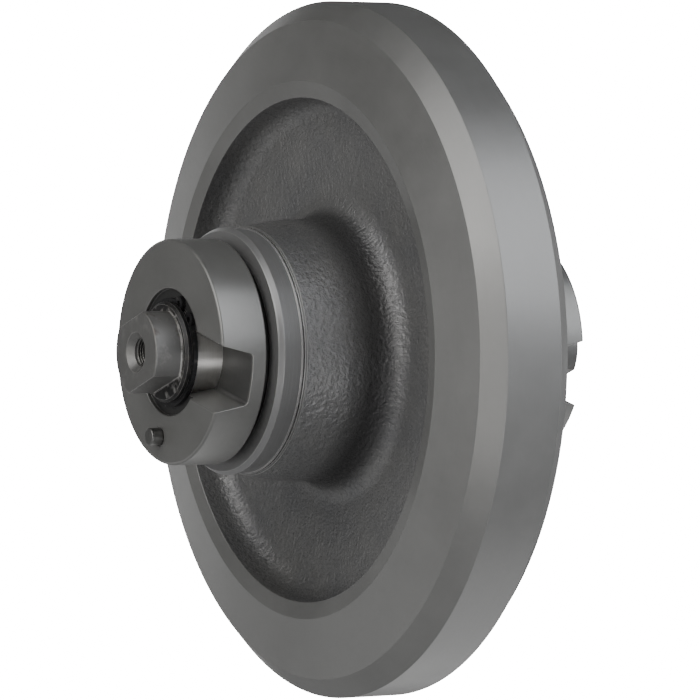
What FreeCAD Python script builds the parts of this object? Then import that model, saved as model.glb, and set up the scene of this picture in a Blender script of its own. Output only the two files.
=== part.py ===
import FreeCAD, Part

import math
import os

# Track roller: a dished, single-rim wheel that turns on a fixed shaft, with a slotted collar at
# each end of the shaft and a floating face seal between each collar and the hub.
#
# Frame: millimetres, +Z up, origin at the wheel's centre, spin axis along Y, front end at -Y.
# "Along" is the distance from the middle plane. Both ends share the same sizes, and the rear end
# mirrors the front but for its dowel. Angles lie in the XZ plane, from +X towards +Z.

# ---- Wheel casting: rim ----
wheel_radius = 200.0
tread_width = 34.0
rim_chamfer_height = 11.2       # radial height of the chamfer beside the tread
rim_chamfer_along = 11.0
side_face_height = 34.9         # radial height of the conical side face
side_face_rise = 7.7            # how much further along it stands at its inner edge
mouth_bevel_height = 9.5        # machined bevel round the mouth of the dish
mouth_bevel_drop = 1.7
edge_break = 0.5                # rounding of a machined edge

# ---- Wheel casting: web and hub ----
web_half_at_rim = 15.5
web_half_at_hub = 11.0
dish_draft = 1.2                # how much the dish narrows from its mouth to the web
rim_fillet = 12.0
hub_fillet = 15.0
hub_step = 0.8                  # the hub's face stands this much outside the hub ring
hub_swell = 3.9                 # how much the hub thickens inward from its face
hub_swell_length = 24.8
hub_swell_round = 60.0
hub_draft = 0.7                 # how much it thickens from there to the web
hub_face_along = 68.8
hub_edge = 0.4
oil_chamber_wall = 10.0         # the chamber stands this much outside the bush seat
oil_chamber_corner = 3.0

# ---- Shaft ----
seat_radius = 28.5              # the stretch under a collar
journal_shoulder = 3.5          # the journal stands this much above the seat
shaft_lead = 1.5                # chamfer at the outer end of the seat
seat_overhang = 3.9             # how far the seat runs out past the collar's face
stub_step = 3.5                 # the flatted end lies this much inside the seat
stub_length = 17.0
stub_edge = 1.0                 # rounding of its outer end
flat_depth = 5.8                # how deep each flat is cut into the end of the shaft
flat_angle = 17.5
end_thread_radius = 8.0         # root radius of the M16 x 1.5 thread
end_thread_depth = 24.0
end_sink_radius = 11.5
oil_passage_radius = 4.0

# ---- Oil plug, below each threaded hole ----
plug_radius = 5.5
plug_length = 10.0
plug_edge = 0.8
plug_socket_across = 5.0        # hexagon, across its flats
plug_socket_depth = 5.0

# ---- Bush ----
running_clearance = 0.05        # radial, between bush and journal
bush_wall = 4.0
bush_length = 36.0
bush_flange_height = 5.95
bush_flange_width = 4.0
bush_edge = 0.5
thrust_clearance = 0.2          # axial, between bush flange and collar
bush_groove_depth = 0.9
bush_groove_width = 4.0

# ---- Hub ring: machined seal housing pressed into the hub ----
ring_wall = 12.7                # round the labyrinth
ring_width = 15.5               # its outer flange
ring_chamfer_height = 2.0
ring_chamfer_along = 2.9
joint_gap = 1.2                 # groove between the hub's face and the flange
joint_groove_depth = 1.6
spigot_wall = 15.0              # round the seal chamber
spigot_length = 13.0
ring_back_edge = 0.6

# ---- Collar ----
collar_gap = 5.3                # between the hub ring's face and the collar's back
collar_rim_height = 8.0         # the collar's rim stands this much outside its nose
collar_width = 27.8
collar_edge = 1.7               # rounding round its face
collar_back_edge = 0.5
seat_clearance = 0.05           # radial, between collar and shaft seat
collar_boss_wall = 6.5          # the boss that runs in to the shaft's shoulder
counterbore_room = 1.8          # radial, round the snap ring's lugs
counterbore_edge = 0.6
slot_angle = -14.5
slot_depth = 19.3
slot_half_at_face = 19.2
slot_half_at_floor = 14.6
slot_floor_corner = 2.5
slot_edge = 0.5

# ---- Labyrinth and seal chamber ----
labyrinth_depth = 6.0           # how deep the collar's nose enters the hub ring
labyrinth_gap = 1.5
nose_wall = 9.0
seal_chamber_depth = 10.5
boss_clearance = 1.5            # radial, between the collar's boss and what turns round it

# ---- Floating face seal: two metal rings, each carried by a rubber ring ----
seal_face_gap = 0.1
seal_ring_wall = 3.5
seal_ring_length = 9.5
seal_lip_height = 4.0
seal_lip_width = 3.0
seal_edge = 0.4
toric_height = 7.0
toric_width = 7.0
toric_side_gap = 0.4
toric_corner = 2.6

# ---- O-rings, as squeezed in their grooves ----
shaft_o_ring_depth = 2.6
hub_o_ring_depth = 2.4
o_ring_width = 3.4
o_ring_corner = 1.0
o_ring_setback = 8.0            # from the shaft's shoulder, or into the spigot

# ---- Snap ring ----
snap_width = 2.5
snap_side_play = 0.1
snap_groove_depth = 1.5
snap_wall = 3.9                 # mean radial width of the ring
snap_offset = 0.4               # the outer circle lies this far away from the gap
snap_gap_angle = 51.5
snap_gap_half = 6.2             # half the opening, in degrees
snap_lug_angle = 14.3           # from the middle of the gap to a plier hole
snap_lug_radius = 4.2
snap_lug_rise = 3.0             # a plier hole lies this far outside the groove
snap_hole_radius = 1.75

# ---- Dowel pin ----
dowel_radius = 5.0              # its head, outside the collar
dowel_stem_radius = 4.5         # the stem pressed into the collar
dowel_gap = 0.4                 # between the head and the collar's face
dowel_relief_radius = 5.6       # shallow relief round the dowel, in the collar's face
dowel_relief_depth = 0.8
dowel_wall = 9.5                # between the pin and the collar's rim
dowel_turn = 90.0               # from the slot
dowel_proud = 7.0
dowel_depth = 20.0
dowel_edge = 0.8

# ---- Places along the axis, worked out from the sizes above ----
spigot_floor = hub_face_along - spigot_length
shaft_shoulder = spigot_floor + thrust_clearance
bush_inner_end = spigot_floor - bush_length
ring_back = hub_face_along + joint_gap
ring_face = ring_back + ring_width
collar_back = ring_face + collar_gap
collar_face = collar_back + collar_width
labyrinth_floor = ring_face - labyrinth_depth
nose_end = labyrinth_floor + labyrinth_gap
seal_plane = (labyrinth_floor + nose_end) / 2
seat_end = collar_face + seat_overhang
shaft_end = seat_end + stub_length
counterbore_floor = collar_face - snap_width

# ---- Distances from the axis, worked out from the sizes above ----
journal_radius = seat_radius + journal_shoulder
bush_bore = journal_radius + running_clearance
bush_seat = bush_bore + bush_wall
bush_flange_radius = bush_seat + bush_flange_height
collar_bore = seat_radius + seat_clearance
collar_boss_radius = seat_radius + collar_boss_wall
seal_ring_bore = collar_boss_radius + boss_clearance
seal_ring_radius = seal_ring_bore + seal_ring_wall
seal_chamber_radius = seal_ring_radius + toric_height
nose_radius = seal_chamber_radius + nose_wall
labyrinth_radius = nose_radius + labyrinth_gap
collar_radius = nose_radius + collar_rim_height
dowel_reach = collar_radius - dowel_wall - dowel_radius
spigot_radius = seal_chamber_radius + spigot_wall
ring_radius = labyrinth_radius + ring_wall
hub_radius = ring_radius + hub_step
stub_radius = seat_radius - stub_step
flat_half_width = stub_radius - flat_depth
snap_groove_radius = seat_radius - snap_groove_depth
snap_outer_radius = snap_groove_radius + snap_wall
snap_lug_reach = snap_groove_radius + snap_lug_rise
counterbore_radius = snap_lug_reach + snap_lug_radius + counterbore_room

FRONT = -1
REAR = 1
ENDS = {"front": FRONT, "rear": REAR}
AXIS = FreeCAD.Vector(0, 1, 0)
CENTRE = FreeCAD.Vector(0, 0, 0)
PAST = 1.0                      # how far a cutting tool runs past the face that it cuts


def towards(start, end):
    """Unit vector from one point to another."""
    step = end - start
    return step * (1 / step.Length)


def rounded_corner(before, corner, after, radius):
    """Start, middle and end of the tangent arc that rounds a corner."""
    back = towards(corner, before)
    ahead = towards(corner, after)
    half_angle = back.getAngle(ahead) / 2
    reach = radius / math.tan(half_angle)
    centre = corner + towards(CENTRE, back + ahead) * (radius / math.sin(half_angle))
    middle = centre + towards(centre, corner) * radius
    return corner + back * reach, middle, corner + ahead * reach


def outline(points):
    """Closed wire through (x, y, corner radius) points. A corner radius of 0 leaves it sharp."""
    corners = [FreeCAD.Vector(x, y, 0) for x, y, _ in points]
    bends = []
    for index, (_, _, radius) in enumerate(points):
        corner = corners[index]
        if radius:
            after = corners[(index + 1) % len(corners)]
            bends.append(rounded_corner(corners[index - 1], corner, after, radius))
        else:
            bends.append((corner, corner, corner))
    edges = []
    for index, (start, middle, end) in enumerate(bends):
        edges.append(Part.LineSegment(bends[index - 1][2], start).toShape())
        if start != end:
            edges.append(Part.Arc(start, middle, end).toShape())
    return Part.Wire(edges)


def turned(points, side=REAR):
    """Solid of revolution through (radius, along, corner radius) points, at one end of the axis."""
    wire = outline([(radius, side * along, corner) for radius, along, corner in points])
    solid = Part.Face(wire).revolve(CENTRE, AXIS, 360)
    return solid if solid.Volume > 0 else solid.reversed()


def both_ends(half):
    """Profile of a piece that runs through the middle plane, from its half at one end."""
    return half + [(radius, -along, corner) for radius, along, corner in reversed(half)]


def clocked(shape, angle):
    """The shape, turned about the spin axis from +X towards +Z."""
    shape.rotate(CENTRE, -AXIS, angle)
    return shape


def round_bar(radius, start, end, side, reach=0.0):
    """Cylinder along the spin axis, its own axis at a distance of reach along +X."""
    base = FreeCAD.Vector(reach, side * start, 0)
    return Part.makeCylinder(radius, end - start, base, AXIS * side)


def wheel_casting():
    """Rim, web and hub in one piece, dished the same on both sides."""
    shoulder_radius = wheel_radius - rim_chamfer_height
    shoulder_along = tread_width / 2 + rim_chamfer_along
    crown_radius = shoulder_radius - side_face_height
    crown_along = shoulder_along + side_face_rise
    mouth_radius = crown_radius - mouth_bevel_height
    bush_flange_back = spigot_floor - bush_flange_width
    half = [
        (wheel_radius, tread_width / 2, edge_break),
        (shoulder_radius, shoulder_along, edge_break),
        (crown_radius, crown_along, edge_break),
        (mouth_radius, crown_along - mouth_bevel_drop, edge_break),
        (mouth_radius - dish_draft, web_half_at_rim, rim_fillet),
        (hub_radius + hub_swell + hub_draft, web_half_at_hub, hub_fillet),
        (hub_radius + hub_swell, hub_face_along - hub_swell_length, hub_swell_round),
        (hub_radius, hub_face_along, hub_edge),
        (spigot_radius, hub_face_along, 0),
        (spigot_radius, spigot_floor, 0),
        (bush_flange_radius, spigot_floor, 0),
        (bush_flange_radius, bush_flange_back, 0),
        (bush_seat, bush_flange_back, 0),
        (bush_seat, bush_inner_end, 0),
        (bush_seat + oil_chamber_wall, bush_inner_end, oil_chamber_corner),
    ]
    return turned(both_ends(half))


def hub_ring(side):
    """Seal housing: a flange outside the hub, a spigot inside it and a chamber in its face."""
    groove_end = hub_face_along - (o_ring_setback - o_ring_width)
    groove_start = groove_end - o_ring_width
    groove_radius = spigot_radius - hub_o_ring_depth
    return turned([
        (ring_radius, ring_back, ring_back_edge),
        (ring_radius, ring_face - ring_chamfer_along, 0),
        (ring_radius - ring_chamfer_height, ring_face, 0),
        (labyrinth_radius, ring_face, edge_break),
        (labyrinth_radius, labyrinth_floor, 0),
        (seal_chamber_radius, labyrinth_floor, edge_break),
        (seal_chamber_radius, labyrinth_floor - seal_chamber_depth, edge_break),
        (seal_ring_bore, labyrinth_floor - seal_chamber_depth, edge_break),
        (seal_ring_bore, spigot_floor, 0),
        (spigot_radius, spigot_floor, 0),
        (spigot_radius, groove_start, 0),
        (groove_radius, groove_start, 0),
        (groove_radius, groove_end, 0),
        (spigot_radius, groove_end, 0),
        (spigot_radius, hub_face_along, 0),
        (ring_radius - joint_groove_depth, hub_face_along, 0),
        (ring_radius - joint_groove_depth, ring_back, 0),
    ], side)


def hub_o_ring(side):
    """O-ring in the spigot's groove."""
    groove_end = hub_face_along - (o_ring_setback - o_ring_width)
    return o_ring(spigot_radius - hub_o_ring_depth, spigot_radius, groove_end, side)


def shaft_o_ring(side):
    """O-ring in the shaft seat, under the collar's boss."""
    groove_end = shaft_shoulder + o_ring_setback + o_ring_width
    return o_ring(seat_radius - shaft_o_ring_depth, collar_bore, groove_end, side)


def o_ring(inner_radius, outer_radius, end, side):
    """Rubber ring squeezed to the section of its groove."""
    return turned([
        (inner_radius, end - o_ring_width, o_ring_corner),
        (outer_radius, end - o_ring_width, o_ring_corner),
        (outer_radius, end, o_ring_corner),
        (inner_radius, end, o_ring_corner),
    ], side)


def bush(side):
    """Flanged bearing bush with an oil groove round the middle of its bore."""
    groove_middle = (bush_inner_end + spigot_floor) / 2
    groove_half = bush_groove_width / 2
    return turned([
        (bush_bore, bush_inner_end, bush_edge),
        (bush_seat, bush_inner_end, bush_edge),
        (bush_seat, spigot_floor - bush_flange_width, 0),
        (bush_flange_radius, spigot_floor - bush_flange_width, 0),
        (bush_flange_radius, spigot_floor, bush_edge),
        (bush_bore, spigot_floor, bush_edge),
        (bush_bore, groove_middle + groove_half, 0),
        (bush_bore + bush_groove_depth, groove_middle + groove_half - bush_groove_depth, 0),
        (bush_bore + bush_groove_depth, groove_middle - groove_half + bush_groove_depth, 0),
        (bush_bore, groove_middle - groove_half, 0),
    ], side)


def seal_half(points, side, outward):
    """A piece of the seal, from points whose along is the distance from the sealing plane."""
    away = seal_face_gap / 2
    return turned([(r, seal_plane + outward * (away + a), c) for r, a, c in points], side)


def seal_ring(side, outward):
    """Metal half of the face seal: a lapped lip and the barrel that the rubber ring grips."""
    lip_radius = seal_ring_radius + seal_lip_height
    return seal_half([
        (seal_ring_bore, 0, seal_edge),
        (lip_radius, 0, seal_edge),
        (lip_radius, seal_lip_width, seal_edge),
        (seal_ring_radius, seal_lip_width, 0),
        (seal_ring_radius, seal_ring_length, seal_edge),
        (seal_ring_bore, seal_ring_length, seal_edge),
    ], side, outward)


def toric_ring(side, outward):
    """Rubber ring squeezed between the metal half and the wall of its chamber."""
    start = seal_lip_width + toric_side_gap
    end = start + toric_width
    return seal_half([
        (seal_ring_radius, start, toric_corner),
        (seal_chamber_radius, start, toric_corner),
        (seal_chamber_radius, end, toric_corner),
        (seal_ring_radius, end, toric_corner),
    ], side, outward)


def shaft():
    """Fixed shaft: journal, collar seats, flatted ends, threaded holes and oil passages."""
    o_groove_start = shaft_shoulder + o_ring_setback
    o_groove_end = o_groove_start + o_ring_width
    o_groove_radius = seat_radius - shaft_o_ring_depth
    half = [
        (0, shaft_end, 0),
        (stub_radius, shaft_end, stub_edge),
        (stub_radius, seat_end, 0),
        (seat_radius - shaft_lead, seat_end, 0),
        (seat_radius, seat_end - shaft_lead, 0),
        (seat_radius, collar_face, 0),
        (snap_groove_radius, collar_face, 0),
        (snap_groove_radius, counterbore_floor - snap_side_play, 0),
        (seat_radius, counterbore_floor - snap_side_play, 0),
        (seat_radius, o_groove_end, 0),
        (o_groove_radius, o_groove_end, 0),
        (o_groove_radius, o_groove_start, 0),
        (seat_radius, o_groove_start, 0),
        (seat_radius, shaft_shoulder, 0),
        (journal_radius, shaft_shoulder, edge_break),
    ]
    solid = turned(both_ends(half))
    thread_floor = shaft_end - end_thread_depth
    plug_floor = thread_floor - plug_length
    sink_depth = end_sink_radius - end_thread_radius
    for side in ENDS.values():
        solid = solid.cut(flat_cutters(side))
        solid = solid.cut(round_bar(end_thread_radius, thread_floor, shaft_end + PAST, side))
        solid = solid.cut(round_bar(plug_radius, plug_floor, shaft_end, side))
        mouth = FreeCAD.Vector(0, side * shaft_end, 0)
        solid = solid.cut(Part.makeCone(end_sink_radius, end_thread_radius, sink_depth, mouth, AXIS * -side))
    solid = solid.cut(round_bar(oil_passage_radius, -shaft_end, shaft_end, REAR))
    cross_hole_end = journal_radius + PAST
    cross_hole_foot = FreeCAD.Vector(0, 0, -cross_hole_end)
    cross_hole = Part.makeCylinder(oil_passage_radius, 2 * cross_hole_end, cross_hole_foot)
    return solid.cut(cross_hole)


def flat_cutters(side):
    """The two blocks that leave the flats on one end of the shaft."""
    length = stub_length + PAST
    width = 2 * (stub_radius + PAST)
    height = stub_radius + PAST - flat_half_width
    foot = seat_end if side == REAR else -seat_end - length
    blocks = []
    for low in (flat_half_width, -flat_half_width - height):
        corner = FreeCAD.Vector(-width / 2, foot, low)
        blocks.append(clocked(Part.makeBox(width, length, height, corner), flat_angle))
    return Part.makeCompound(blocks)


def oil_plug(side):
    """Socket plug screwed in below the threaded hole, flush with its floor."""
    thread_floor = shaft_end - end_thread_depth
    plug = turned([
        (0, thread_floor - plug_length, 0),
        (plug_radius, thread_floor - plug_length, plug_edge),
        (plug_radius, thread_floor, plug_edge),
        (0, thread_floor, 0),
    ], side)
    corner_radius = plug_socket_across / math.sqrt(3)
    floor = side * (thread_floor - plug_socket_depth)
    corners = []
    for turn in range(7):
        angle = math.radians(60 * turn)
        corners.append(FreeCAD.Vector(corner_radius * math.cos(angle), floor, corner_radius * math.sin(angle)))
    socket = Part.Face(Part.makePolygon(corners)).extrude(AXIS * side * (plug_socket_depth + PAST))
    return plug.cut(socket)


def collar(side):
    """End collar: slotted disc with a nose over the seal and a boss in to the shaft's shoulder."""
    chamber_floor = nose_end + seal_chamber_depth
    solid = turned([
        (collar_radius, collar_back, collar_back_edge),
        (collar_radius, collar_face, collar_edge),
        (counterbore_radius, collar_face, counterbore_edge),
        (counterbore_radius, counterbore_floor, edge_break),
        (collar_bore, counterbore_floor, 0),
        (collar_bore, shaft_shoulder, 0),
        (collar_boss_radius, shaft_shoulder, edge_break),
        (collar_boss_radius, chamber_floor, edge_break),
        (seal_chamber_radius, chamber_floor, edge_break),
        (seal_chamber_radius, nose_end, edge_break),
        (nose_radius, nose_end, edge_break),
        (nose_radius, collar_back, edge_break),
    ], side)
    hole = round_bar(dowel_stem_radius, collar_face - dowel_depth, collar_face + PAST, side, dowel_reach)
    relief = round_bar(
        dowel_relief_radius, collar_face - dowel_relief_depth, collar_face + PAST, side, dowel_reach
    )
    for cutter in (hole, relief):
        solid = solid.cut(clocked(cutter, dowel_angle(side)))
    return solid.cut(slot_cutter(side))


def dowel_angle(side):
    """Angle of the dowel. The rear collar is the front one turned over, about the line of its slot."""
    return slot_angle + side * dowel_turn


def slot_cutter(side):
    """Tapered block that leaves the slot, from inside the bore out through the rim of the collar."""
    floor = collar_face - slot_depth
    taper = (slot_half_at_face - slot_half_at_floor) / slot_depth
    top = collar_face + PAST
    edge_half = slot_half_at_face - taper * slot_edge
    half = [
        (slot_half_at_floor, floor, slot_floor_corner),
        (edge_half, collar_face - slot_edge, 0),
        (slot_half_at_face + slot_edge, collar_face, 0),
        (slot_half_at_face + slot_edge, top, 0),
    ]
    section = half + [(-width, along, corner) for width, along, corner in reversed(half)]
    wire = outline([(width, side * along, corner) for width, along, corner in section])
    length = collar_radius + PAST
    block = Part.Face(wire).extrude(FreeCAD.Vector(0, 0, length))
    block.rotate(CENTRE, AXIS, 90)
    block.translate(FreeCAD.Vector(seat_radius / 2, 0, 0))
    return clocked(block, slot_angle)


def snap_ring(side):
    """External snap ring, flush with the collar's face: a plier hole in the lug at each end."""
    back = counterbore_floor
    front = collar_face
    ring = round_bar(snap_outer_radius, back, front, side, -snap_offset)
    gap_reach = snap_outer_radius + snap_lug_radius
    gap_half = math.radians(snap_gap_half)
    gap_corners = [
        FreeCAD.Vector(0, side * (back - PAST), 0),
        FreeCAD.Vector(gap_reach, side * (back - PAST), gap_reach * math.tan(gap_half)),
        FreeCAD.Vector(gap_reach, side * (back - PAST), -gap_reach * math.tan(gap_half)),
        FreeCAD.Vector(0, side * (back - PAST), 0),
    ]
    gap = Part.Face(Part.makePolygon(gap_corners)).extrude(AXIS * side * (snap_width + 2 * PAST))
    for turn in (-snap_lug_angle, snap_lug_angle):
        lug = round_bar(snap_lug_radius, back, front, side, snap_lug_reach)
        ring = ring.fuse(clocked(lug, turn))
    for turn in (-snap_lug_angle, snap_lug_angle):
        hole = round_bar(snap_hole_radius, back - PAST, front + PAST, side, snap_lug_reach)
        ring = ring.cut(clocked(hole, turn))
    ring = ring.cut(gap)
    ring = ring.cut(round_bar(snap_groove_radius, back - PAST, front + PAST, side))
    return clocked(ring, snap_gap_angle)


def dowel_pin(side):
    """Stepped pin pressed into the collar, its head standing out to hold the collar in its bracket."""
    head = collar_face + dowel_gap
    end = collar_face + dowel_proud
    section = outline([
        (0, collar_face - dowel_depth, 0),
        (dowel_stem_radius, collar_face - dowel_depth, dowel_edge),
        (dowel_stem_radius, head, 0),
        (dowel_radius, head, 0),
        (dowel_radius, end, dowel_edge),
        (0, end, 0),
    ])
    pin = Part.Face(section).revolve(CENTRE, AXIS, 360)
    if side == FRONT:
        pin = pin.mirror(CENTRE, AXIS)
    pin.translate(FreeCAD.Vector(dowel_reach, 0, 0))
    return clocked(pin, dowel_angle(side))


def pieces():
    """Every piece by the name of its node."""
    made = {"wheel_casting": wheel_casting(), "shaft": shaft()}
    for end, side in ENDS.items():
        made["hub_ring_" + end] = hub_ring(side)
        made["hub_o_ring_" + end] = hub_o_ring(side)
        made["bush_" + end] = bush(side)
        made["turning_seal_ring_" + end] = seal_ring(side, -1)
        made["turning_toric_ring_" + end] = toric_ring(side, -1)
        made["fixed_seal_ring_" + end] = seal_ring(side, 1)
        made["fixed_toric_ring_" + end] = toric_ring(side, 1)
        made["collar_" + end] = collar(side)
        made["shaft_o_ring_" + end] = shaft_o_ring(side)
        made["snap_ring_" + end] = snap_ring(side)
        made["dowel_pin_" + end] = dowel_pin(side)
        made["oil_plug_" + end] = oil_plug(side)
    return made


os.makedirs("parts", exist_ok=True)
for node, shape in pieces().items():
    shape.exportStep("parts/" + node + ".step")
    print(node, shape.ShapeType, len(shape.Solids), shape.isValid(), round(shape.Volume))
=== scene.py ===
import math
import random

import bmesh
import bpy
from mathutils import Matrix, Vector, noise


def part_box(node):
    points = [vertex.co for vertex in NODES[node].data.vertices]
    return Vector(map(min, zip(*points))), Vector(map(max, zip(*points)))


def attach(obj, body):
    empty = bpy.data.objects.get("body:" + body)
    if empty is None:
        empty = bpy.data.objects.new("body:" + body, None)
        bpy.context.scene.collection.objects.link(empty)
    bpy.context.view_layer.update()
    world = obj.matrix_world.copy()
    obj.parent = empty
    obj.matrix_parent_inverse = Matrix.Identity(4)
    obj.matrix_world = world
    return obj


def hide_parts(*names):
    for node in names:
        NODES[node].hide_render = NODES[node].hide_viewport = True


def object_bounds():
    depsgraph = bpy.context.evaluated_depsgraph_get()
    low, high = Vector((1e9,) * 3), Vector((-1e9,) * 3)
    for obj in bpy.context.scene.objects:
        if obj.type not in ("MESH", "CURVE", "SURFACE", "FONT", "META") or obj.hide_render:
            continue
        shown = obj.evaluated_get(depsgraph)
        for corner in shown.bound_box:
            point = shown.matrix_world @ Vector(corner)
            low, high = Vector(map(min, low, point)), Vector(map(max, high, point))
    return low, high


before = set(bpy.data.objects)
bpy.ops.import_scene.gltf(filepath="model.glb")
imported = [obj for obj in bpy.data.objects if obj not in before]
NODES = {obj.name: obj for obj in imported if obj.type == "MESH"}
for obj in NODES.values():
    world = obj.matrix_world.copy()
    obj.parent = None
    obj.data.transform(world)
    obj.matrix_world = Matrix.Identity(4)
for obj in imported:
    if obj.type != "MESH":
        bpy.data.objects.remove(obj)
cad_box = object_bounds()

# Metres, in the part's own frame: spin axis along Y, front end at -Y, +Z up.
MM = 0.001
ENDS = {"front": -1, "rear": 1}

# ---- Sizes read from the frame ----
WHEEL_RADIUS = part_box("wheel_casting")[1].x
HUB_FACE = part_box("wheel_casting")[1].y
RING_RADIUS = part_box("hub_ring_front")[1].x
COLLAR_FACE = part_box("collar_rear")[1].y
SHAFT_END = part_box("shaft")[1].y
SNAP_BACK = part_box("snap_ring_rear")[0].y

# ---- Places that the finishes follow ----
SEAT_END = COLLAR_FACE + 3.9 * MM
COUNTERBORE = 36.0 * MM                # radius of the recess in a collar's face
SLOT_FLOOR = COLLAR_FACE - 19.3 * MM
COLLAR_SKIN = 62 * MM                  # radius just inside a collar's outer face; the painted slot shade stays inside it
STUB_SKIN = 24.2 * MM                  # radius just inside a shaft end's round face
HUB_ROOT_SHADE_RADII = (77 * MM, 82.5 * MM)  # painted shade in the hub's fillet into the web, across the radius: darkest, then clear and along the axis: clear, then darkest
HUB_ROOT_SHADE_ALONG = (44 * MM, 30 * MM)    # and along the axis: clear, then darkest
EDGE_ROUND = 0.55 * MM                 # rounding of the primed edges
PIN_EDGE_ROUND = 0.4 * MM
# light steel colour on every sharp edge: edge wear and painted edge highlight
EDGE_WEAR_AND_HIGHLIGHT = (0.62, 0.61, 0.6)

# ---- Camera: a long lens, a touch above the spin axis ----
CAMERA_AT = Vector((2.485, -1.4285, 0.0184))
CAMERA_AIM = Vector((-0.00025, -0.00045, -0.0004))
CAMERA_UP = Vector((0, 0.013, 1))
CAMERA_LENS = 255.9


# ======================================================================= material helpers
def new_material(name, base, roughness, metallic=0.0):
    """A material with its Principled shader: its constant values are set on the shader itself."""
    material = bpy.data.materials.new(name)
    material.use_nodes = True
    tree = material.node_tree
    shader = tree.nodes["Principled BSDF"]
    shader.inputs["Base Color"].default_value = (*base, 1)
    shader.inputs["Roughness"].default_value = roughness
    shader.inputs["Metallic"].default_value = metallic
    return material, tree, shader


def add(tree, kind, inputs=None, **settings):
    """Adds a node. An input that is a socket is linked, and any other is set."""
    made = tree.nodes.new(kind)
    for name, value in settings.items():
        setattr(made, name, value)
    for key, value in (inputs or {}).items():
        if isinstance(value, bpy.types.NodeSocket):
            tree.links.new(value, made.inputs[key])
        else:
            made.inputs[key].default_value = value
    return made


def math_node(tree, operation, first, second=0.0):
    """The result of one Math node."""
    return add(tree, "ShaderNodeMath", {0: first, 1: second}, operation=operation).outputs[0]


def rock(tree, where, scale, detail=3.0, roughness=0.55):
    """Noise of that scale, per metre, at the given coordinates."""
    settings = {"Vector": where, "Scale": scale, "Detail": detail, "Roughness": roughness}
    return add(tree, "ShaderNodeTexNoise", settings).outputs["Fac"]


def spread(tree, value, low, high, to_low, to_high):
    """Stretches a value from one range to another, clamped."""
    settings = {"Value": value, "From Min": low, "From Max": high, "To Min": to_low, "To Max": to_high}
    return add(tree, "ShaderNodeMapRange", settings).outputs[0]


def blend_colour(tree, share, first, second):
    """Mix of two colours. Each is a socket or three numbers."""
    node = add(tree, "ShaderNodeMix", data_type="RGBA")
    pairs = {"Factor": share, "A": first, "B": second}
    sockets = {"Factor": node.inputs[0], "A": node.inputs[6], "B": node.inputs[7]}
    for key, value in pairs.items():
        if isinstance(value, bpy.types.NodeSocket):
            tree.links.new(value, sockets[key])
        else:
            sockets[key].default_value = value if key == "Factor" else (*value, 1)
    return node.outputs[2]


def bump(tree, height, distance, strength=1.0, under=None):
    """A Bump node, on top of another one's normal if given."""
    inputs = {"Height": height, "Distance": distance, "Strength": strength}
    if under is not None:
        inputs["Normal"] = under
    return add(tree, "ShaderNodeBump", inputs).outputs[0]


def places(tree):
    """Object coordinates, and the same place as (radius, angle, along) about the spin axis."""
    where = add(tree, "ShaderNodeTexCoord").outputs["Object"]
    axes = add(tree, "ShaderNodeSeparateXYZ", {0: where})
    x, y, z = axes.outputs
    across = math_node(tree, "MULTIPLY", x, x)
    upwards = math_node(tree, "MULTIPLY", z, z)
    radius = math_node(tree, "SQRT", math_node(tree, "ADD", across, upwards))
    angle = math_node(tree, "ARCTAN2", z, x)
    return where, radius, angle, y


MARK_RUN = 0.0009              # how fast a tool mark changes round the axis, in metres per radian


def lathe_marks(tree, radius, angle, along, pitch):
    """Fine tool marks that run round the spin axis, a little uneven along their length."""
    run = math_node(tree, "MULTIPLY", angle, MARK_RUN)
    round_it = add(tree, "ShaderNodeCombineXYZ", {0: radius, 1: run, 2: along})
    return rock(tree, round_it.outputs[0], 1 / pitch, 2.0, 0.6)


def rounded_edge_wear_and_highlight(tree, width, share):
    """Normal that rounds the sharp edges, and how much lighter each place is coloured for being on one:
    edge wear and painted edge highlight, on convex and concave edges alike.
    """
    rounded = add(tree, "ShaderNodeBevel", {"Radius": width}, samples=6).outputs[0]
    plain = add(tree, "ShaderNodeNewGeometry").outputs["Normal"]
    both = {0: rounded, 1: plain}
    agree = add(tree, "ShaderNodeVectorMath", both, operation="DOT_PRODUCT").outputs["Value"]
    return rounded, spread(tree, agree, 0.99, 0.86, 0, share)


def link(tree, shader, **values):
    """Links sockets to the shader's inputs of those names."""
    for name, value in values.items():
        tree.links.new(value, shader.inputs[name.replace("_", " ")])


# ======================================================================= materials
SHEEN = 0.6                    # how metallic the grey primer looks


def recess_grime_and_slot_shade(tree, tone, radius, along, grimy_radius):
    """Oily grime in a collar's recess, inside grimy_radius, and painted shade darkening the floor of its
    slot.
    """
    inside = spread(tree, radius, grimy_radius - 0.4 * MM, grimy_radius, 1, 0)
    reach = math_node(tree, "ABSOLUTE", along)
    below = spread(tree, reach, COLLAR_FACE - 0.5 * MM, COLLAR_FACE, 1, 0)
    above = spread(tree, reach, SNAP_BACK - 0.5 * MM, SNAP_BACK - 0.2 * MM, 0, 0.85)
    grime = math_node(tree, "MULTIPLY", math_node(tree, "MULTIPLY", inside, below), above)
    tone = blend_colour(tree, grime, tone, (0.03, 0.03, 0.031))
    # painted shade: the slot floor and the faces under the collar's skin are coloured darker, as a deep
    # slot would be shaded
    slot_shade = spread(tree, reach, SLOT_FLOOR + 1 * MM, SLOT_FLOOR + 3 * MM, 0.65, 0)
    slot_shade_off_rim = spread(tree, radius, COLLAR_SKIN, COLLAR_SKIN + 1 * MM, 1, 0)
    return blend_colour(tree, math_node(tree, "MULTIPLY", slot_shade, slot_shade_off_rim), tone, (0.05, 0.05, 0.051))


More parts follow.
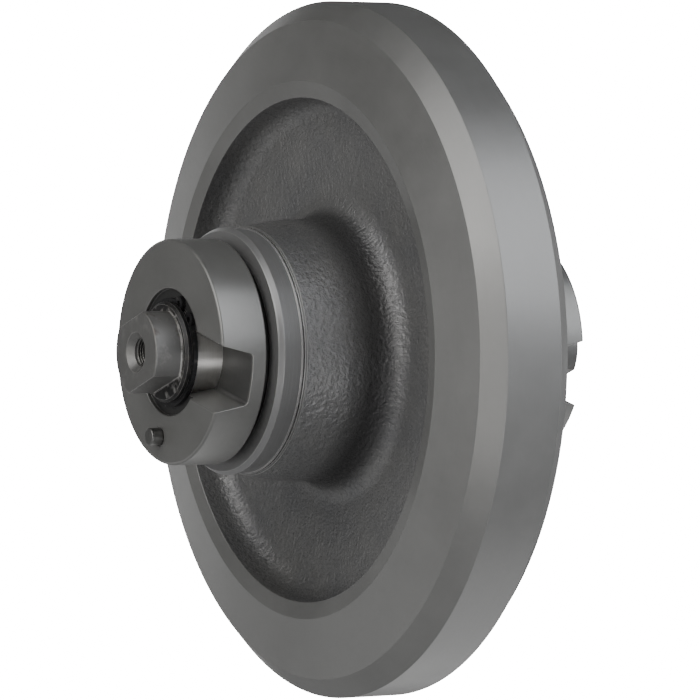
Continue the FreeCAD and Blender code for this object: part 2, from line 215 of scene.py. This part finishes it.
def primed_steel(name, base, roughness, tool_pitch, tool_depth, grimy_radius=0.0):
    """Thin grey primer with a metal sheen over turned steel, with lighter sharp edges (edge wear and
    painted highlight). Given grimy_radius: oily grime inside it, and painted shade on the slot floor.
    """
    material, tree, shader = new_material(name, base, roughness, SHEEN)
    where, radius, angle, along = places(tree)
    mottle = rock(tree, where, 22.0, 4.0, 0.6)
    speck = rock(tree, where, 900.0, 2.0, 0.6)
    marks = lathe_marks(tree, radius, angle, along, tool_pitch)
    darker = tuple(v * 0.93 for v in base)
    lighter = tuple(v * 1.07 for v in base)
    tone = blend_colour(tree, spread(tree, mottle, 0.3, 0.7, 0, 1), darker, lighter)
    tone = blend_colour(tree, spread(tree, marks, 0.35, 0.65, 0.0, 0.22), tone, lighter)
    tone = blend_colour(tree, spread(tree, speck, 0.62, 0.8, 0.0, 0.25), tone, darker)
    # oily grime in the recess, and painted shade in the slot
    if grimy_radius:
        tone = recess_grime_and_slot_shade(tree, tone, radius, along, grimy_radius)
    gloss = spread(tree, math_node(tree, "ADD", mottle, math_node(tree, "MULTIPLY", speck, 0.5)),
                   0.5, 1.0, roughness - 0.05, roughness + 0.07)
    # sharp edges coloured lighter: edge wear and painted highlight
    rounded, wear_and_edge_highlight = rounded_edge_wear_and_highlight(tree, EDGE_ROUND, 0.75)
    tone = blend_colour(tree, wear_and_edge_highlight, tone, EDGE_WEAR_AND_HIGHLIGHT)
    raised = bump(tree, marks, tool_depth, 1.0, rounded)
    raised = bump(tree, speck, 0.00003, 0.7, raised)
    link(tree, shader, Base_Color=tone, Roughness=gloss, Normal=raised)
    return material


def cast_primer():
    """Grey primer over rough sand casting: grain, darker pits, lighter crests, and painted shade in the
    hub's root fillet.
    """
    base = (0.20, 0.20, 0.205)
    material, tree, shader = new_material("cast_primer", base, 0.46, SHEEN)
    where, radius, _, along = places(tree)
    grain = rock(tree, where, 490.0, 2.5, 0.55)
    lumps = rock(tree, where, 240.0, 3.0, 0.5)
    patches = rock(tree, where, 26.0, 4.0, 0.6)
    cells = add(tree, "ShaderNodeTexVoronoi", {"Vector": where, "Scale": 380.0, "Randomness": 1.0},
                feature="SMOOTH_F1").outputs["Distance"]
    patchy = spread(tree, patches, 0.3, 0.7, 0, 1)
    tone = blend_colour(tree, patchy, (0.18, 0.181, 0.187), (0.222, 0.22, 0.219))
    tone = blend_colour(tree, spread(tree, grain, 0.56, 0.74, 0, 0.35), tone, (0.3, 0.3, 0.296))
    tone = blend_colour(tree, spread(tree, grain, 0.38, 0.26, 0, 0.6), tone, (0.08, 0.08, 0.082))
    # painted shade: the hub's root fillet by the web is coloured near black
    low = spread(tree, math_node(tree, "ABSOLUTE", along), *HUB_ROOT_SHADE_ALONG, 0, 0.7)
    root_shade = math_node(tree, "MULTIPLY", low, spread(tree, radius, *HUB_ROOT_SHADE_RADII, 1, 0))
    tone = blend_colour(tree, root_shade, tone, (0.04, 0.04, 0.041))
    gloss = spread(tree, grain, 0.35, 0.65, 0.5, 0.36)
    raised = bump(tree, lumps, 0.0007, 0.7)
    raised = bump(tree, grain, 0.0009, 0.9, raised)
    raised = bump(tree, cells, 0.0002, 0.5, raised)
    link(tree, shader, Base_Color=tone, Roughness=gloss, Normal=raised)
    return material


def shaft_finish():
    """Ground steel under the collars, oily grime round the snap ring, scuffed primer on the ends."""
    steel = (0.46, 0.45, 0.435)
    primer = (0.178, 0.177, 0.175)
    material, tree, shader = new_material("shaft_finish", steel, 0.3)
    where, radius, angle, along = places(tree)
    reach = math_node(tree, "ABSOLUTE", along)
    waver = math_node(tree, "SUBTRACT", rock(tree, where, 160.0), 0.5)
    ragged = math_node(tree, "MULTIPLY", waver, 1.6 * MM)
    edge = math_node(tree, "ADD", reach, ragged)
    grimy = spread(tree, edge, SNAP_BACK - 0.9 * MM, SNAP_BACK, 0, 1)
    painted = spread(tree, edge, SEAT_END + 0.1 * MM, SEAT_END + 0.6 * MM, 0, 1)
    rubbed = spread(tree, edge, SEAT_END + 0.9 * MM, SEAT_END + 1.6 * MM, 1, 0)
    marks = lathe_marks(tree, radius, angle, along, 0.00035)
    scuffs = rock(tree, where, 95.0, 6.0, 0.7)
    stain = rock(tree, where, 48.0, 4.0, 0.6)
    bright = blend_colour(tree, marks, (0.5, 0.49, 0.475), (0.66, 0.65, 0.63))
    smeared = spread(tree, scuffs, 0.5, 0.7, 0, 1)
    oily = blend_colour(tree, smeared, (0.025, 0.025, 0.026), (0.075, 0.07, 0.065))
    wear_and_edge_highlight = blend_colour(tree, spread(tree, scuffs, 0.52, 0.7, 0, 0.5), primer, (0.34, 0.335, 0.325))
    round_side = spread(tree, radius, STUB_SKIN, STUB_SKIN + 0.6 * MM, 0, 0.8)
    stained = math_node(tree, "MULTIPLY", spread(tree, stain, 0.53, 0.64, 0, 1), round_side)
    wear_and_edge_highlight = blend_colour(tree, stained, wear_and_edge_highlight, (0.085, 0.07, 0.06))
    scraped = math_node(tree, "MULTIPLY", rubbed, spread(tree, scuffs, 0.36, 0.46, 0, 0.9))
    wear_and_edge_highlight = blend_colour(tree, scraped, wear_and_edge_highlight, (0.8, 0.79, 0.77))
    tone = blend_colour(tree, grimy, bright, oily)
    tone = blend_colour(tree, painted, tone, wear_and_edge_highlight)
    # sharp edges coloured lighter: edge wear and painted highlight
    rounded, edge_wear_and_highlight = rounded_edge_wear_and_highlight(tree, EDGE_ROUND, 0.75)
    tone = blend_colour(tree, edge_wear_and_highlight, tone, EDGE_WEAR_AND_HIGHLIGHT)
    metal = add(tree, "ShaderNodeMix", {0: grimy, 2: 1.0, 3: SHEEN}).outputs[0]
    ground_gloss = spread(tree, marks, 0.3, 0.7, 0.38, 0.44)
    scuffed_gloss = spread(tree, scuffs, 0.3, 0.7, 0.34, 0.5)
    gloss = add(tree, "ShaderNodeMix", {0: grimy, 2: ground_gloss, 3: scuffed_gloss}).outputs[0]
    raised = bump(tree, marks, 0.00001, 1.0, rounded)
    raised = bump(tree, math_node(tree, "MULTIPLY", scuffs, grimy), 0.00012, 0.5, raised)
    ground = math_node(tree, "MULTIPLY", math_node(tree, "SUBTRACT", 1.0, grimy), 0.85)
    round_axis = add(tree, "ShaderNodeTangent", direction_type="RADIAL", axis="Y").outputs[0]
    shader.inputs["Anisotropic Rotation"].default_value = 0.25
    link(tree, shader, Base_Color=tone, Roughness=gloss, Metallic=metal, Normal=raised,
         Anisotropic=ground, Tangent=round_axis)
    return material


def bare_metal(name, dark, bright, roughness, pitch):
    """Bare metal with fine marks round the axis and small patches of tarnish."""
    material, tree, shader = new_material(name, bright, roughness, 1.0)
    where, radius, angle, along = places(tree)
    marks = lathe_marks(tree, radius, angle, along, pitch)
    tarnish = rock(tree, where, 70.0, 4.0, 0.6)
    tone = blend_colour(tree, spread(tree, tarnish, 0.35, 0.7, 0, 0.8), bright, dark)
    uneven = math_node(tree, "ADD", marks, tarnish)
    gloss = spread(tree, uneven, 0.7, 1.3, roughness - 0.06, roughness + 0.1)
    # sharp edges coloured lighter: edge wear and painted highlight
    rounded, wear_and_edge_highlight = rounded_edge_wear_and_highlight(tree, PIN_EDGE_ROUND, 0.5)
    tone = blend_colour(tree, wear_and_edge_highlight, tone, (0.6, 0.59, 0.58))
    link(tree, shader, Base_Color=tone, Roughness=gloss, Normal=bump(tree, marks, 0.00004, 1.0, rounded))
    return material


def black_spring_steel():
    """Black-oxide spring steel, oily, with a dark sheen and worn spots."""
    material, tree, shader = new_material("black_spring_steel", (0.03, 0.03, 0.032), 0.3, 0.6)
    where = add(tree, "ShaderNodeTexCoord").outputs["Object"]
    wear = rock(tree, where, 210.0, 5.0, 0.65)
    film = rock(tree, where, 60.0, 2.0, 0.5)
    rubbed = spread(tree, wear, 0.58, 0.75, 0, 0.7)
    tone = blend_colour(tree, rubbed, (0.028, 0.028, 0.03), (0.16, 0.155, 0.15))
    link(tree, shader, Base_Color=tone, Roughness=spread(tree, film, 0.3, 0.7, 0.22, 0.42),
         Normal=bump(tree, wear, 0.00006))
    return material


def oiled_rubber():
    """Black nitrile rubber with a mould grain and an oil film."""
    material, tree, shader = new_material("oiled_rubber", (0.012, 0.012, 0.013), 0.45)
    where = add(tree, "ShaderNodeTexCoord").outputs["Object"]
    grain = rock(tree, where, 1500.0, 2.0, 0.6)
    film = rock(tree, where, 90.0, 3.0, 0.5)
    tone = blend_colour(tree, film, (0.009, 0.009, 0.01), (0.02, 0.02, 0.021))
    link(tree, shader, Base_Color=tone, Roughness=spread(tree, film, 0.3, 0.7, 0.3, 0.6),
         Normal=bump(tree, grain, 0.00003))
    return material


def studio_floor():
    """Pale floor that brightens into the white backdrop just beside the object."""
    material, tree, shader = new_material("studio_floor", (0.9, 0.9, 0.9), 0.9)
    shader.inputs["Specular IOR Level"].default_value = 0.1
    where = add(tree, "ShaderNodeTexCoord").outputs["Object"]
    away = add(tree, "ShaderNodeVectorMath", {0: where}, operation="LENGTH").outputs["Value"]
    far = spread(tree, away, 0.0, 0.06, 0.6, 1)
    glow = add(tree, "ShaderNodeEmission", {"Color": (1, 1, 1, 1), "Strength": BACKDROP})
    mixed = add(tree, "ShaderNodeMixShader", {0: far, 1: shader.outputs[0], 2: glow.outputs[0]})
    tree.links.new(mixed.outputs[0], tree.nodes["Material Output"].inputs["Surface"])
    return material


# ======================================================================= mesh helpers
def section(node):
    """Outline of a CAD solid of revolution, cut at +X: (radius, along) points in order."""
    cut = bmesh.new()
    cut.from_mesh(NODES[node].data)
    bmesh.ops.remove_doubles(cut, verts=cut.verts, dist=1e-6)
    everything = cut.verts[:] + cut.edges[:] + cut.faces[:]
    found = bmesh.ops.bisect_plane(
        cut, geom=everything, dist=1e-7, plane_co=(0, 0, 0), plane_no=(0, 0, 1)
    )["geom_cut"]
    edges = [e for e in found if isinstance(e, bmesh.types.BMEdge) and e.verts[0].co.x > 0]
    beside = {}
    for edge in edges:
        for vertex in edge.verts:
            beside.setdefault(vertex, []).append(edge.other_vert(vertex))
    start = max(beside, key=lambda v: (v.co.x, v.co.y))
    loop = [start]
    step = min(beside[start], key=lambda v: v.co.y)
    while step is not start:
        loop.append(step)
        step = next(v for v in beside[step] if v is not loop[-2])
    points = [Vector((v.co.x, v.co.y)) for v in loop]
    cut.free()
    return points


def turn_at(before, point, after):
    """Angle by which the outline turns at a point."""
    return (point - before).angle(after - point, 0.0)


def thinned(points, flat=math.radians(0.6)):
    """The outline without points that lie on a straight run."""
    kept = []
    for index, point in enumerate(points):
        before = kept[-1] if kept else points[index - 1]
        after = points[(index + 1) % len(points)]
        if (point - before).length > 0.02 * MM and turn_at(before, point, after) > flat:
            kept.append(point)
    return kept


def split_runs(points, longest):
    """The outline with each run no longer than longest(middle of the run)."""
    out = []
    for index, start in enumerate(points):
        end = points[(index + 1) % len(points)]
        count = max(1, math.ceil((end - start).length / longest((start + end) / 2)))
        out.extend(start.lerp(end, step / count) for step in range(count))
    return out


def relaxed(points, inside):
    """The outline with the small corners of its curved runs smoothed, where inside(point)."""
    out = []
    for index, point in enumerate(points):
        before = points[index - 1]
        after = points[(index + 1) % len(points)]
        turn = turn_at(before, point, after)
        if inside(point) and turn < math.radians(15):
            point = point.lerp((before + after) / 2, 0.5)
        out.append(point)
    return out


def lathe(name, points, segments, shift=None):
    """Closed mesh of revolution about the spin axis. shift(place, normal, point) moves a vertex."""
    made = bmesh.new()
    rings = []
    for index, point in enumerate(points):
        ahead = points[(index + 1) % len(points)] - points[index - 1]
        outward = Vector((-ahead.y, ahead.x)).normalized()
        ring = []
        for step in range(segments):
            angle = math.tau * step / segments
            across = Vector((math.cos(angle), 0, math.sin(angle)))
            place = across * point.x + Vector((0, point.y, 0))
            normal = across * outward.x + Vector((0, outward.y, 0))
            if shift:
                place = place + normal * shift(place, normal, point)
            ring.append(made.verts.new(place))
        rings.append(ring)
    for index, ring in enumerate(rings):
        after = rings[(index + 1) % len(rings)]
        for step in range(segments):
            side = (step + 1) % segments
            made.faces.new((ring[step], ring[side], after[side], after[step]))
    bmesh.ops.recalc_face_normals(made, faces=made.faces)
    mesh = bpy.data.meshes.new(name)
    made.to_mesh(mesh)
    made.free()
    made_object = bpy.data.objects.new(name, mesh)
    bpy.context.scene.collection.objects.link(made_object)
    return made_object


def smooth(piece, angle=math.radians(28)):
    """Smooth shading that keeps flat faces flat."""
    piece.data.polygons.foreach_set("use_smooth", [True] * len(piece.data.polygons))
    piece.data.set_sharp_from_angle(angle=angle)
    weighted = piece.modifiers.new("weighted", "WEIGHTED_NORMAL")
    weighted.keep_sharp = True


# ======================================================================= the wheel casting
MOUTH_RADIUS = 0.14445         # the dish is cast inside this radius, and turned outside it
CAST_FADE = 1.6 * MM           # the casting's roughness fades out over this, towards turned faces
CAST_STEP = 1.5 * MM
HUB_TRIM = 0.4 * MM            # turned edge at the outer end of the hub
TURNED_STEP = 9.0 * MM
WHEEL_SEGMENTS = 360
SKIN = 0.06 * MM               # keeps the round skin inside the faceted solid
MOUTH_ALONG = 0.033            # the dish's wall ends here, along the axis
PIMPLE_COUNT = 70
PIT_COUNT = 46
MARKS_ON_HUB = 0.6             # share of the marks that lie on the hub, and the others on the web
HUB_SKIN_RADIUS = 0.0755
HUB_SPAN = (0.025, 0.066)      # along the axis
WEB_SPAN = (0.085, 0.14)       # radii
WEB_ALONG = (0.010, 0.018)
MARK_SIZES = (1.3, 2.4)        # mm
MARK_HEIGHTS = (0.35, 0.8)     # mm
PIT_DEPTH = -0.8               # of a pimple's height
MARK_CELL = 8 * MM
# Height in mm, waves per metre and shift of the three scales of unevenness.
CAST_WAVES = [(0.30, 24, (0, 0, 0)), (0.16, 70, (5, 0, 0)), (0.13, 210, (0, 9, 0))]


def is_cast(point):
    """True on the web, in the fillets and outside the hub."""
    return RING_RADIUS < point.x < MOUTH_RADIUS and abs(point.y) < HUB_FACE - HUB_TRIM


def casting_marks():
    """Places, sizes and heights of the small pimples and pits that the sand left."""
    dice = random.Random(11)
    marks = []
    for kind in ["pimple"] * PIMPLE_COUNT + ["pit"] * PIT_COUNT:
        side = dice.choice((-1, 1))
        angle = dice.uniform(0, math.tau)
        on_hub = dice.random() < MARKS_ON_HUB
        radius = HUB_SKIN_RADIUS if on_hub else dice.uniform(*WEB_SPAN)
        along = dice.uniform(*HUB_SPAN) if on_hub else dice.uniform(*WEB_ALONG)
        size = dice.uniform(*MARK_SIZES) * MM
        height = dice.uniform(*MARK_HEIGHTS) * MM * (1 if kind == "pimple" else PIT_DEPTH)
        place = Vector((radius * math.cos(angle), side * along, radius * math.sin(angle)))
        marks.append((place, size, height))
    return marks


def casting_shift():
    """How far the cast skin stands off the smooth shape at a place."""
    grid = {}
    for mark in casting_marks():
        key = tuple(round(c / MARK_CELL) for c in mark[0])
        grid.setdefault(key, []).append(mark)
    around = [(i, j, k) for i in (-1, 0, 1) for j in (-1, 0, 1) for k in (-1, 0, 1)]

    def shift(place, normal, point):
        if not is_cast(point):
            return 0.0
        to_mouth = MOUTH_RADIUS - point.x + max(0.0, MOUTH_ALONG - abs(point.y))
        to_face = HUB_FACE - HUB_TRIM - abs(point.y)
        weight = min(1.0, to_mouth / CAST_FADE, to_face / CAST_FADE)
        height = 0.0
        for tall, waves, offset in CAST_WAVES:
            height += tall * MM * noise.noise(place * waves + Vector(offset))
        key = tuple(round(c / MARK_CELL) for c in place)
        for step in around:
            for where, size, tall in grid.get(tuple(a + b for a, b in zip(key, step)), ()):
                gap = (place - where).length / size
                if gap < 1:
                    height += tall * (1 - gap * gap) ** 2
        return height * max(0.0, weight)

    return shift


def make_wheel():
    """The casting's skin: turned rim, rough cast dish and hub, both sides."""
    points = thinned(section("wheel_casting"))
    for point in points:
        point.x = min(point.x, WHEEL_RADIUS - SKIN)
    points = split_runs(points, lambda middle: CAST_STEP if is_cast(middle) else TURNED_STEP)
    for _ in range(3):
        points = relaxed(points, is_cast)
    wheel = lathe("cast_wheel", points, WHEEL_SEGMENTS, casting_shift())
    wheel.data.materials.append(MATERIALS["turned_rim"])
    wheel.data.materials.append(MATERIALS["cast"])
    for face in wheel.data.polygons:
        middle = face.center
        flat = Vector((math.hypot(middle.x, middle.z), middle.y))
        face.material_index = 1 if is_cast(flat) else 0
    smooth(wheel)
    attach(wheel, "wheel")
    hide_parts("wheel_casting")


# ======================================================================= the hub rings
RING_SEGMENTS = 256
# Distance behind the front of the flange, depth and width of each shallow turned groove, in mm.
RING_GROOVES = [(0.9, 0.3, 0.9), (3.4, 0.05, 0.5), (4.7, 0.08, 0.6), (6.0, 0.05, 0.5), (7.2, 0.08, 0.6),
                (8.6, 0.06, 0.5)]
GROOVE_PROFILE = [(0, 0), (0.25, 1), (0.75, 1), (1, 0)]        # shares of the width and of the depth
SEAM_DEPTH = 0.9 * MM          # of the gap between ring and hub
SEAM_WIDTH = 0.8 * MM


def make_ring(end, side):
    """Hub ring with turned grooves round its flange and a seam where it meets the hub."""
    points = thinned(section("hub_ring_" + end))
    rim = [point for point in points if point.x > RING_RADIUS - 0.01 * MM]
    front = max(rim[0], rim[-1], key=lambda point: side * point.y)
    rear = min(rim[0], rim[-1], key=lambda point: side * point.y)
    cuts = []
    for inset, depth, width in RING_GROOVES:
        for step, share in GROOVE_PROFILE:
            along = front.y - side * (inset + width * step) * MM
            cuts.append(Vector((RING_RADIUS - depth * share * MM, along)))
    for depth, width in ((0, SEAM_WIDTH), (SEAM_DEPTH, SEAM_WIDTH), (SEAM_DEPTH, 0)):
        cuts.append(Vector((RING_RADIUS - depth, rear.y + side * width)))
    forwards = rim[0] is front
    if not forwards:
        cuts.reverse()
    points = [point for point in points if point is not rear]
    where = points.index(front) + (1 if forwards else 0)
    points = points[:where] + cuts + points[where:]
    ring = lathe("turned_hub_ring_" + end, points, RING_SEGMENTS)
    ring.data.materials.append(MATERIALS["ring"])
    smooth(ring, math.radians(12))
    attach(ring, "wheel")
    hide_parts("hub_ring_" + end)


# ======================================================================= threads in the shaft's ends
THREAD_PITCH = 1.5 * MM
THREAD_ROOT = 8.0 * MM
THREAD_HEIGHT = 0.85 * MM
THREAD_START = 4.6 * MM        # below the end face, just under the countersink
THREAD_TURNS = 12
THREAD_STEPS = 48
THREAD_FADE = 20               # steps over which the ridge rises at each end
THREAD_LEAST = 0.03            # share of the height left at its very ends
THREAD_PROFILE = ((-0.05, -0.46), (1, -0.07), (1, 0.07), (-0.05, 0.46))    # of height and of pitch


def make_thread(end, side):
    """Helical ridge inside a shaft end, with tapered ends."""
    mesh = bmesh.new()
    rows = []
    total = THREAD_TURNS * THREAD_STEPS
    for step in range(total + 1):
        angle = math.tau * step / THREAD_STEPS
        depth = THREAD_START + THREAD_PITCH * step / THREAD_STEPS
        fade = max(THREAD_LEAST, min(1.0, step / THREAD_FADE, (total - step) / THREAD_FADE))
        across = Vector((math.cos(angle), 0, math.sin(angle)))
        row = []
        for inward, along in THREAD_PROFILE:
            reach = THREAD_ROOT - THREAD_HEIGHT * (inward if inward < 0 else inward * fade)
            y = SHAFT_END - depth - along * THREAD_PITCH
            row.append(mesh.verts.new(across * reach + Vector((0, side * y, 0))))
        rows.append(row)
    for first, second in zip(rows, rows[1:]):
        for a in range(4):
            b = (a + 1) % 4
            mesh.faces.new((first[a], first[b], second[b], second[a]))
    mesh.faces.new(rows[0])
    mesh.faces.new(rows[-1])
    bmesh.ops.recalc_face_normals(mesh, faces=mesh.faces)
    data = bpy.data.meshes.new("end_thread_" + end)
    mesh.to_mesh(data)
    mesh.free()
    thread = bpy.data.objects.new("end_thread_" + end, data)
    bpy.context.scene.collection.objects.link(thread)
    data.materials.append(MATERIALS["dark_steel"])
    smooth(thread)
    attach(thread, "axle")


# ======================================================================= studio
# name, azimuth from the front end, elevation, width and height in degrees, radiance, colour
SOFT_BOXES = [
    ("front_box", 14, 38, 48, 42, 2.4, (1.0, 0.99, 0.965)),
    ("front_strip", 29, 6, 14, 68, 2.7, (1.0, 0.985, 0.95)),
    ("front_left_box", 345, 6, 30, 34, 0.9, (1.0, 0.99, 0.97)),
    ("right_box", 117, 32, 44, 48, 3.2, (0.95, 0.97, 1.0)),
    ("right_low_box", 116, -4, 46, 20, 0.6, (0.95, 0.97, 1.0)),
    ("right_strip", 84, -24, 30, 10, 5.6, (1.0, 1.0, 1.0)),
    ("low_back_box", 200, -54, 60, 40, 0.8, (1.0, 1.0, 1.0)),
    ("back_box", 176, 10, 34, 40, 1.6, (1.0, 1.0, 1.0)),
    ("left_box", 262, 4, 34, 40, 1.0, (1.0, 1.0, 1.0)),
    ("low_box", 315, -26, 40, 22, 0.4, (1.0, 1.0, 1.0)),
]
BOX_DISTANCE = 2.4
BACKDROP = 22.0                # radiance of the white that the camera sees
FILL = (0.36, 0.06)            # radiance of the surroundings, from below and from above
FLOOR_RADIUS = 8.0


def soft_box(name, azimuth, elevation, wide, tall, radiance, colour):
    """Soft box that faces the object from that direction and fills that much of its view."""
    a = math.radians(azimuth)
    e = math.radians(elevation)
    towards = Vector((math.sin(a) * math.cos(e), -math.cos(a) * math.cos(e), math.sin(e)))
    data = bpy.data.lights.new(name, "AREA")
    data.shape = "RECTANGLE"
    data.size = 2 * BOX_DISTANCE * math.tan(math.radians(wide / 2))
    data.size_y = 2 * BOX_DISTANCE * math.tan(math.radians(tall / 2))
    data.energy = math.pi * data.size * data.size_y * radiance
    data.color = colour
    light = bpy.data.objects.new(name, data)
    bpy.context.scene.collection.objects.link(light)
    light.location = towards * BOX_DISTANCE
    light.rotation_euler = (-towards).to_track_quat("-Z", "Y").to_euler()
    light.visible_camera = False


def make_studio():
    """Camera, soft boxes, white surroundings and floor."""
    data = bpy.data.cameras.new("camera")
    data.lens = CAMERA_LENS
    camera = bpy.data.objects.new("camera", data)
    bpy.context.scene.collection.objects.link(camera)
    back = (CAMERA_AT - CAMERA_AIM).normalized()
    right = CAMERA_UP.cross(back).normalized()
    turned = Matrix((right, back.cross(right), back)).transposed()
    camera.matrix_world = Matrix.Translation(CAMERA_AT) @ turned.to_4x4()
    bpy.context.scene.camera = camera

    for name, azimuth, elevation, wide, tall, radiance, colour in SOFT_BOXES:
        soft_box(name, azimuth, elevation, wide, tall, radiance, colour)

    world = bpy.data.worlds.new("studio")
    world.use_nodes = True
    bpy.context.scene.world = world
    tree = world.node_tree
    background = tree.nodes["Background"]
    seen = add(tree, "ShaderNodeLightPath").outputs["Is Camera Ray"]
    direction = add(tree, "ShaderNodeTexCoord").outputs["Generated"]
    up = add(tree, "ShaderNodeSeparateXYZ", {0: direction}).outputs[2]
    fill = spread(tree, up, -0.6, 0.3, *FILL)
    strength = add(tree, "ShaderNodeMix", {0: seen, 2: fill, 3: BACKDROP}).outputs[0]
    tree.links.new(strength, background.inputs["Strength"])
    background.inputs["Color"].default_value = (1, 1, 1, 1)

    bpy.ops.mesh.primitive_circle_add(
        vertices=96, radius=FLOOR_RADIUS, fill_type="NGON", location=(0, 0, cad_box[0][2])
    )
    floor = bpy.context.object
    floor.name = "studio_floor"
    floor.data.materials.append(studio_floor())
    floor.visible_diffuse = False
    floor.visible_glossy = False
    floor.visible_shadow = False


# ======================================================================= making the object
MATERIALS = {
    "turned_rim": primed_steel("turned_rim", (0.232, 0.232, 0.23), 0.37, 0.00045, 0.00003),
    "cast": cast_primer(),
    "ring": primed_steel("turned_ring", (0.265, 0.265, 0.269), 0.34, 0.0007, 0.00012),
    "collar": primed_steel("collar_primer", (0.218, 0.218, 0.214), 0.32, 0.0005, 0.00004, COUNTERBORE),
    "shaft": shaft_finish(),
    "pin": bare_metal("pin_steel", (0.12, 0.12, 0.12), (0.24, 0.24, 0.235), 0.42, 0.0004),
    "dark_steel": bare_metal(
        "thread_steel", (0.05, 0.048, 0.045), (0.2, 0.2, 0.195), 0.36, 0.0003
    ),
    "spring": black_spring_steel(),
    "seal_iron": bare_metal("seal_iron", (0.2, 0.2, 0.2), (0.5, 0.5, 0.5), 0.22, 0.0003),
    "bronze": bare_metal("bronze", (0.25, 0.14, 0.06), (0.62, 0.4, 0.18), 0.3, 0.0004),
    "rubber": oiled_rubber(),
}
KEPT_NODES = {
    "shaft": "shaft",
    "collar": "collar",
    "dowel_pin": "pin",
    "snap_ring": "spring",
    "oil_plug": "dark_steel",
    "bush": "bronze",
    "fixed_seal_ring": "seal_iron",
    "turning_seal_ring": "seal_iron",
    "fixed_toric_ring": "rubber",
    "turning_toric_ring": "rubber",
    "shaft_o_ring": "rubber",
    "hub_o_ring": "rubber",
    "hub_ring": "ring",
    "wheel_casting": "cast",
}


def finish_kept_nodes():
    """Gives each CAD node its material. The replaced ones have theirs too."""
    for name, node in NODES.items():
        kind = name.removesuffix("_front").removesuffix("_rear")
        for slot in node.material_slots:
            slot.material = MATERIALS[KEPT_NODES[kind]]


make_studio()
finish_kept_nodes()
make_wheel()
for end, side in ENDS.items():
    make_ring(end, side)
    make_thread(end, side)
